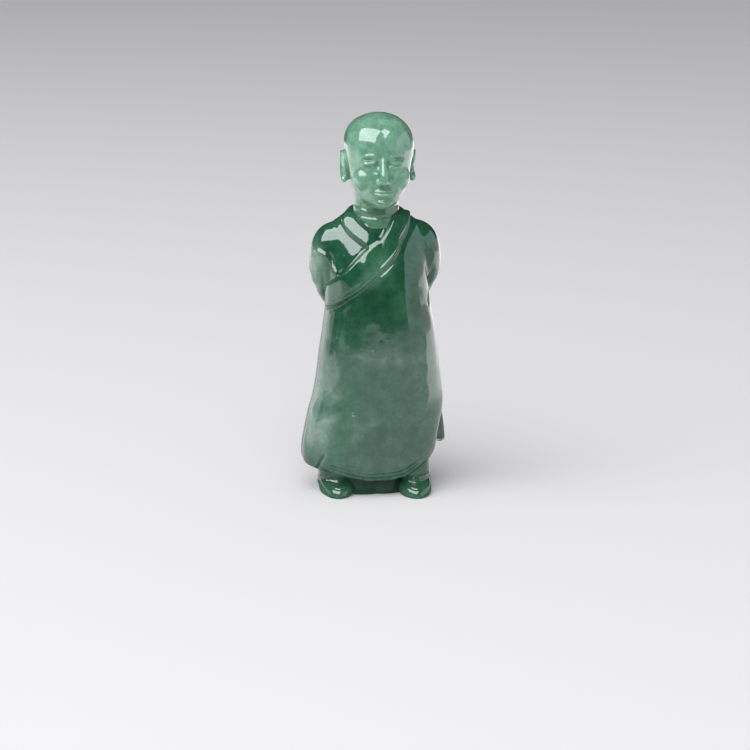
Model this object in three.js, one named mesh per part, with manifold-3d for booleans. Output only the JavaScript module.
// A jade figurine: a shaven-headed monk in a long robe with crossed collars, standing with both hands
// clasped behind the back. The real figure is carved from one stone, and each mesh here is one carved
// region of it. A region is its own form, less the forms of the regions listed before it, so together
// they fill the whole carving, with only a hairline between neighbours.
//
// Millimetres, +Z up. The figure faces -Y, and its right hand is towards -X. The origin is at the middle
// of its bounding box, on the surface it stands on.
import * as THREE from "three";
import { mergeVertices } from "three/addons/utils/BufferGeometryUtils.js";
import Module from "manifold-3d";

const wasm = await Module();
wasm.setup();

const { lerp, smoothstep, clamp } = THREE.MathUtils;

// ---- Driving sizes

const hairline = 0.03; // between neighbouring regions

// The robe, as lengths stacked from the ground to the neck opening.
const hemHeight = 1.9; // from the ground to the lowest point of the front hem
const skirtLength = 18.3; // from the hem to the waist, where the sleeves pass behind
const chestLength = 6.9; // from the waist to the armpits
const shoulderRise = 5.7; // from the armpits to the neck opening
const hemHalfWidth = 8.5;
const waistHalfWidth = 6.1;
const chestHalfWidth = 5.6;
const neckOpening = 3.0; // half the width of the neck opening
const robeFront = 4.9; // from the seam plane to the fullest point of the skirt's front
const robeBack = 4.3; // from the seam plane to the fullest point of the back
const chestDepthLoss = 0.4; // how much shallower the chest is than the skirt, at the front and the back
const seamY = 0; // the plane through both side seams
const frontHemHalfWidth = 6.9;
const frontHemLift = 3.6; // how far the front hem sweeps up to the figure's left
const backHemLift = 2.4; // the same sweep on the back hem
const leftSlit = 7.5; // how far the slit on the figure's left reaches above the hem
const rightSlit = 2.7;

// The collars lie on the chest as raised bands and run into it as far as their bed.
const collarWidth = 2.4; // the outer band, which crosses the chest
const innerCollarWidth = 1.7;
const collarRelief = 0.35; // how far a band stands proud of the chest
const collarBed = 2.6; // how deep the bands' bed is, from the skirt's front
const napeHeight = 0.5; // how far the collar stands above the neck opening
const napeTaper = 0.3; // how much narrower its standing part is at the top
const collarOutset = 0.3; // how far outside the opening's edge the bands begin
const napeLap = 0.6; // how far the ring round the nape runs forward past the bands' bed

// The sleeves run from the shoulders past the elbows to the cuffs behind the back.
const shoulderRadius = 2.2;
const elbowRadius = 1.75;
const cuffRadius = 1.7;
const sleeveDrop = 1.9; // from the collar's top down to the top of each shoulder
const elbowDrop = 5.2; // from the armpits down to the elbows
const armSpread = 0; // how far each arm's middle lies outside the chest's side
const cuffGap = 1.1; // from the middle of the back to the end of each cuff
const cuffBehind = 0.6; // how far behind the back the cuffs' middle lies
const handsReach = 0.9; // how far the clasped hands reach into each cuff

// The head and neck.
const neckRadius = 2.45;
const neckRoot = 2.1; // how far the neck goes down inside the robe's opening
const neckLength = 0.85; // from the neck opening to the underside of the jaw
const neckForward = 0.2; // how far the neck's middle is in front of the side seams
const headWidth = 7.7;
const headDepth = 8.6;
const headHeight = 10.4;
const headForward = 0.8; // how far the head's middle is in front of the neck's
const headAside = 0.2; // how far it leans to the figure's left
const earHeight = 3.8;
const earThickness = 1.1;

// The legs, shoes and the stone left between the shoes.
const legHalfWidth = 2.0;
const legHalfDepth = 2.8;
const ankleSetback = 0.6; // how far each ankle is behind the middle of its shoe
const shoeHeight = 1.7;
const shoeLength = 9.0;
const shoeWidth = 4.2;
const shoeSpread = 4.45; // from the middle of the stance to each shoe's middle
const stanceAside = 0.3; // how far the stance stands to the figure's right
const toeReach = 5.7; // how far the toes are in front of the side seams
const leftToeLead = 0.6; // how far the left shoe is ahead of that, and the right one behind
const bridgeHeight = 1.6;
const bridgeSetback = 1.2; // how far the bridge's ends stay behind the toes and before the heels

// ---- Heights that follow from them

const waistZ = hemHeight + skirtLength;
const chestZ = waistZ + chestLength;
const openingZ = chestZ + shoulderRise;
const jawZ = openingZ + neckLength;
const headZ = jawZ + headHeight / 2;

// ---- Shaping tools

const around = 36; // facets round a body
const weld = 1e-3; // points closer than this are one point
const reach = headZ + headHeight; // longer than any cut needs, as it passes the crown

// A closed three.js geometry as a solid that can be joined and cut.
function solid(geometry) {
  const bare = geometry.index ? geometry.toNonIndexed() : geometry.clone();
  bare.deleteAttribute("normal");
  bare.deleteAttribute("uv");
  const merged = mergeVertices(bare, weld);
  const made = new wasm.Manifold(
    new wasm.Mesh({
      numProp: 3,
      vertProperties: merged.attributes.position.array,
      triVerts: new Uint32Array(merged.index.array),
    }),
  );
  if (made.volume() < 0) throw new Error("a profile is wound inside out");
  return made;
}

// The same solid's surface as a geometry again.
function surfaceOf(body) {
  const made = body.getMesh();
  const geometry = new THREE.BufferGeometry();
  geometry.setAttribute("position", new THREE.BufferAttribute(made.vertProperties, 3));
  geometry.setIndex(new THREE.BufferAttribute(made.triVerts, 1));
  return geometry;
}

// Moves every vertex of an upright unit cylinder: place(u, v, t) gives the point for the direction (u, v)
// in the ring that is the share t of the way up.
function upright(rings, sides, place) {
  const geometry = new THREE.CylinderGeometry(1, 1, 1, sides, rings).rotateX(Math.PI / 2);
  const position = geometry.attributes.position;
  for (let i = 0; i < position.count; i++) {
    const t = clamp(position.getZ(i) + 0.5, 0, 1);
    position.setXYZ(i, ...place(position.getX(i), position.getY(i), t));
  }
  return solid(geometry);
}

// The value at height z of a line through [z, value] stations, with its corners eased.
function along(stations, z) {
  let i = 0;
  while (i < stations.length - 2 && z > stations[i + 1][0]) i++;
  const [z0, from] = stations[i];
  const [z1, to] = stations[i + 1];
  const straight = clamp((z - z0) / (z1 - z0), 0, 1);
  return lerp(from, to, (straight + smoothstep(z, z0, z1)) / 2);
}

function ellipsoid(centre, halfSizes, sides = 14) {
  const sphere = new THREE.SphereGeometry(1, sides, sides / 2 + 1);
  return solid(sphere.scale(...halfSizes).translate(...centre));
}

// A prism with the outline given in x and z, from y = from to y = to.
function prism(outline, from, to) {
  const depth = to - from;
  const slab = new THREE.ExtrudeGeometry(outline, { depth, bevelEnabled: false, curveSegments: 12 });
  return solid(slab.rotateX(Math.PI / 2).translate(0, to, 0));
}

function box(low, high) {
  const size = high.map((value, i) => value - low[i]);
  const middle = high.map((value, i) => (value + low[i]) / 2);
  return solid(new THREE.BoxGeometry(...size).translate(...middle));
}

// ---- The robe. Every form below can be grown outwards, to cut its neighbours with the hairline kept.

// The robe's body without its sleeves, collars or hem.
function robeBody(grow) {
  const bottomZ = 0.7 * hemHeight;
  const halfWidths = [
    [bottomZ, hemHalfWidth],
    [hemHeight + 0.17 * skirtLength, hemHalfWidth - 0.03 * (hemHalfWidth - waistHalfWidth)],
    [hemHeight + 0.44 * skirtLength, hemHalfWidth - 0.42 * (hemHalfWidth - waistHalfWidth)],
    [waistZ, waistHalfWidth],
    [chestZ, chestHalfWidth],
    [chestZ + 0.4 * shoulderRise, chestHalfWidth],
    [chestZ + 0.75 * shoulderRise, lerp(neckOpening, chestHalfWidth, 0.8)],
    [openingZ, neckOpening],
  ];
  const depthShares = [
    [bottomZ, 0.98],
    [hemHeight + 0.25 * skirtLength, 1],
    [waistZ, 0.98],
    [chestZ, 0.92],
    [chestZ + 0.5 * shoulderRise, 0.76],
    [openingZ, 0.5],
  ];
  return upright(20, around, (u, v, t) => {
    const z = lerp(bottomZ, openingZ + grow, t);
    const level = Math.min(z, openingZ);
    const loss = chestDepthLoss * smoothstep(level, hemHeight, chestZ);
    const depth = (v < 0 ? robeFront : robeBack) - loss;
    // Squarer than an ellipse, as a carving worked from a slab is.
    const square = 1 + 0.2 * Math.abs(u * v);
    return [
      u * square * (along(halfWidths, level) + grow),
      seamY + v * square * (depth * along(depthShares, level) + grow),
      z,
    ];
  });
}

// One panel of the robe: the body between two planes of y, down to a hem that runs through [x, z] points.
function panelForm(hem, slits, low, high, grow) {
  const top = openingZ + napeHeight + 1;
  const halfWidth = hem[hem.length - 1][0];
  const shoulder = Math.max(halfWidth + 1, hemHalfWidth);
  const outline = new THREE.Shape();
  outline.moveTo(-reach, top);
  outline.lineTo(-reach, hemHeight + slits[0]);
  outline.lineTo(-shoulder, hemHeight + slits[0]);
  outline.lineTo(-halfWidth - grow, hem[0][1] - grow);
  outline.splineThru(hem.slice(1, -1).map(([x, z]) => new THREE.Vector2(x, z - grow)));
  outline.lineTo(halfWidth + grow, hem[hem.length - 1][1] - grow);
  outline.lineTo(shoulder, hemHeight + slits[1]);
  outline.lineTo(reach, hemHeight + slits[1]);
  outline.lineTo(reach, top);
  outline.closePath();
  return robeBody(grow).intersect(prism(outline, low - grow, high + grow));
}

function robeFrontForm(grow) {
  // Each point of the hem: its place across the panel, and its share of the lift.
  const hem = [
    [-1, 0.2],
    [-0.6, 0.1],
    [-0.15, 0],
    [0.25, 0.02],
    [0.5, 0.13],
    [0.75, 0.4],
    [0.9, 0.68],
    [1, 1],
  ].map(([across, lift]) => [across * frontHemHalfWidth, hemHeight + lift * frontHemLift]);
  return panelForm(hem, [rightSlit, leftSlit], -reach, seamY, grow);
}

function robeBackForm(grow) {
  const steps = 6;
  const hem = Array.from({ length: steps + 1 }, (_, i) => {
    const share = i / steps;
    return [lerp(-hemHalfWidth, hemHalfWidth, share), hemHeight + backHemLift * share * share];
  });
  return panelForm(hem, [rightSlit, rightSlit], seamY, reach, grow);
}

// ---- The collars

// A raised band along a centre line of [x, z] points, with its bed in the robe's front.
function bandForm(points, width, grow) {
  const line = new THREE.SplineCurve(points.map((point) => new THREE.Vector2(...point)));
  const steps = 12;
  const [one, other] = [1, -1].map((side) =>
    Array.from({ length: steps + 1 }, (_, i) => {
      const tangent = line.getTangent(i / steps);
      const normal = new THREE.Vector2(-tangent.y, tangent.x);
      return line.getPoint(i / steps).addScaledVector(normal, side * (width / 2 + grow));
    }),
  );
  const outline = new THREE.Shape([...one, ...other.reverse()]);
  const bedY = seamY - robeFront + collarBed + grow;
  return robeBody(collarRelief + grow).intersect(prism(outline, -reach, bedY));
}

// The outer collar comes down from beside the neck to the figure's right side, and its standing part is
// a low ring round the back of the neck.
function outerCollarForm(grow) {
  const band = bandForm(
    [
      [neckOpening + collarOutset, openingZ + napeHeight],
      [0.66 * neckOpening, openingZ - 0.32 * shoulderRise],
      [0.36 * neckOpening, openingZ - 0.64 * shoulderRise],
      [-0.08 * chestHalfWidth, chestZ + 0.03 * chestLength],
      [-0.36 * chestHalfWidth, chestZ - 0.18 * chestLength],
      [-0.6 * chestHalfWidth, chestZ - 0.34 * chestLength],
      [-1.15 * chestHalfWidth, chestZ - 0.65 * chestLength],
    ],
    collarWidth,
    grow,
  );
  const ring = upright(2, around, (u, v, t) => {
    const taper = napeTaper * t;
    return [
      u * (neckOpening + collarRelief + grow - taper),
      seamY - neckForward + v * (neckRadius + 2 * collarRelief + grow - taper),
      lerp(openingZ - shoulderRise / 3, openingZ + napeHeight + grow, t),
    ];
  });
  const ringFront = seamY - robeFront + collarBed - napeLap;
  return band.add(ring.intersect(box([-reach, ringFront, 0], [reach, reach, reach])));
}

function innerCollarForm(grow) {
  return bandForm(
    [
      [-neckOpening - collarOutset, openingZ + napeHeight],
      [-0.95 * neckOpening, openingZ - 0.1 * shoulderRise],
      [-0.62 * neckOpening, openingZ - 0.28 * shoulderRise],
      [-0.3 * neckOpening, openingZ - 0.42 * shoulderRise],
      [0.3 * neckOpening, openingZ - 0.62 * shoulderRise],
    ],
    innerCollarWidth,
    grow,
  );
}

// ---- The head and neck

function headForm(grow) {
  const middle = [headAside, seamY - neckForward - headForward, headZ];
  const skull = new THREE.SphereGeometry(1, 28, 18).rotateX(Math.PI / 2);
  const position = skull.attributes.position;
  for (let i = 0; i < position.count; i++) {
    const z = position.getZ(i);
    const low = Math.max(0, -z);
    // The jaw is narrower than the skull, and the skull tucks in above the nape.
    const narrow = 1 - 0.2 * low * low;
    const tuck = position.getY(i) > 0 ? 1 - 0.35 * low : 1;
    position.setX(i, position.getX(i) * narrow * (headWidth / 2 + grow));
    position.setY(i, position.getY(i) * tuck * (headDepth / 2 + grow));
    position.setZ(i, z * (headHeight / 2 + grow));
  }
  const nose = ellipsoid(
    [middle[0], middle[1] - 0.47 * headDepth, headZ - 0.08 * headHeight],
    [0.08 * headWidth + grow, 0.09 * headDepth + grow, 0.1 * headHeight + grow],
    12,
  );
  const ears = [-1, 1].map((side) =>
    ellipsoid(
      [middle[0] + side * (headWidth / 2 - 0.1), middle[1] + 0.3, headZ - 0.1 * headHeight],
      [earThickness / 2 + grow, 0.25 * earHeight + grow, earHeight / 2 + grow],
      12,
    ),
  );
  return solid(skull.translate(...middle)).add(nose).add(ears[0]).add(ears[1]);
}

function neckForm(grow) {
  return upright(4, 28, (u, v, t) => [
    u * (neckRadius + grow) + headAside * t,
    seamY - neckForward + v * (neckRadius + grow) - headForward * t,
    lerp(openingZ - neckRoot - grow, headZ, t),
  ]);
}

// ---- The sleeves and hands

// A tube along a curve, whose radius changes on the way.
function sleeveForm(side, grow) {
  const armX = chestHalfWidth + armSpread;
  const shoulderZ = openingZ + napeHeight - sleeveDrop - shoulderRadius;
  const elbowZ = chestZ - elbowDrop;
  const points = [
    [side * (armX - shoulderRadius), seamY, shoulderZ + 0.13 * shoulderRadius],
    [side * (armX - 0.3 * shoulderRadius), seamY, shoulderZ],
    [side * armX, seamY + 0.05 * robeBack, chestZ - 0.1 * elbowDrop],
    [side * 0.96 * armX, seamY + 0.2 * robeBack, chestZ - 0.5 * elbowDrop],
    [side * 0.84 * armX, seamY + 0.5 * robeBack, elbowZ + 0.15 * elbowDrop],
    [side * 0.54 * armX, seamY + 0.95 * robeBack, elbowZ + 0.02 * elbowDrop],
    [side * cuffGap, seamY + robeBack + cuffBehind, elbowZ],
  ];
  const path = new THREE.CatmullRomCurve3(points.map((point) => new THREE.Vector3(...point)));
  const steps = 14;
  const frames = path.computeFrenetFrames(steps);
  const radii = [
    [0, 0.9 * shoulderRadius],
    [0.15, shoulderRadius],
    [0.55, elbowRadius],
    [1, cuffRadius],
  ];
  const last = path.getTangentAt(1);
  return upright(steps, 18, (u, v, t) => {
    const step = Math.round(t * steps);
    const radius = along(radii, t) + grow;
    return path
      .getPointAt(step / steps)
      .addScaledVector(last, step === steps ? grow : 0)
      .addScaledVector(frames.normals[step], u * radius)
      .addScaledVector(frames.binormals[step], v * radius)
      .toArray();
  });
}

function handsForm(grow) {
  return ellipsoid(
    [0, seamY + robeBack + cuffBehind, chestZ - elbowDrop],
    [cuffGap + handsReach + grow, 0.7 * cuffRadius + grow, 0.8 * cuffRadius + grow],
  );
}

// ---- The legs and feet

function toesOf(side) {
  return seamY - toeReach - side * leftToeLead;
}

function legForm(side, grow) {
  const ankle = toesOf(side) + shoeLength / 2 + ankleSetback;
  return upright(3, 20, (u, v, t) => [
    side * shoeSpread - stanceAside + u * (legHalfWidth + grow),
    ankle + v * (legHalfDepth + grow),
    lerp(0.7 * shoeHeight - grow, hemHeight + backHemLift + frontHemLift, t),
  ]);
}

function shoeForm(side, grow) {
  const middleY = toesOf(side) + shoeLength / 2;
  return upright(4, 24, (u, v, t) => {
    // The sole is flat and the upper rounds over towards its top.
    const round = Math.sqrt(1 - 0.5 * t * t);
    return [
      side * shoeSpread - stanceAside + u * ((shoeWidth * round) / 2 + grow),
      middleY + v * ((shoeLength * round) / 2 + grow),
      lerp(-grow, shoeHeight + grow, t),
    ];
  });
}

function bridgeForm() {
  const front = toesOf(-1) + bridgeSetback;
  const back = toesOf(1) + shoeLength - bridgeSetback;
  return box([-shoeSpread - stanceAside, front, 0], [shoeSpread - stanceAside, back, bridgeHeight]);
}

// ---- One stone, whose colour runs from pale at the head to deep green at the chest and feet

const paleJade = { color: 0x8fc4a4, roughness: 0.15, metalness: 0 };
const deepJade = { color: 0x1f6b47, roughness: 0.15, metalness: 0 };
const cloudedJade = { color: 0x5d8f76, roughness: 0.15, metalness: 0 };

// The regions, in the order in which they give way: each one's name, form and finish.
const regions = [
  ["head", headForm, paleJade],
  ["neck", neckForm, paleJade],
  ["outer_collar", outerCollarForm, deepJade],
  ["inner_collar", innerCollarForm, deepJade],
  ["robe_front", robeFrontForm, cloudedJade],
  ["robe_back", robeBackForm, cloudedJade],
  ["right_sleeve", (grow) => sleeveForm(-1, grow), deepJade],
  ["left_sleeve", (grow) => sleeveForm(1, grow), deepJade],
  ["clasped_hands", handsForm, paleJade],
  ["right_leg", (grow) => legForm(-1, grow), deepJade],
  ["left_leg", (grow) => legForm(1, grow), deepJade],
  ["right_shoe", (grow) => shoeForm(-1, grow), deepJade],
  ["left_shoe", (grow) => shoeForm(1, grow), deepJade],
  ["foot_bridge", bridgeForm, deepJade],
];

const grown = regions.map(([, form]) => form(hairline));
const carved = regions.map(([, form], index) =>
  grown.slice(0, index).reduce((left, earlier) => left.subtract(earlier), form(0)),
);

// The origin goes to the middle of the whole figure's footprint.
const extent = new THREE.Box3();
for (const region of carved) {
  extent.union(new THREE.Box3().setFromBufferAttribute(surfaceOf(region).attributes.position));
}
const middle = extent.getCenter(new THREE.Vector3());

const figure = new THREE.Group();
carved.forEach((region, index) => {
  const placed = solid(surfaceOf(region).translate(-middle.x, -middle.y, -extent.min.z));
  // A grazing cut leaves loose slivers thinner than the polish, so the region is the largest body.
  const body = placed.decompose().sort((a, b) => b.volume() - a.volume())[0];
  const geometry = surfaceOf(body);
  geometry.computeVertexNormals();
  const [name, , finish] = regions[index];
  const mesh = new THREE.Mesh(geometry, new THREE.MeshStandardMaterial(finish));
  mesh.name = name;
  figure.add(mesh);
});

export default figure;
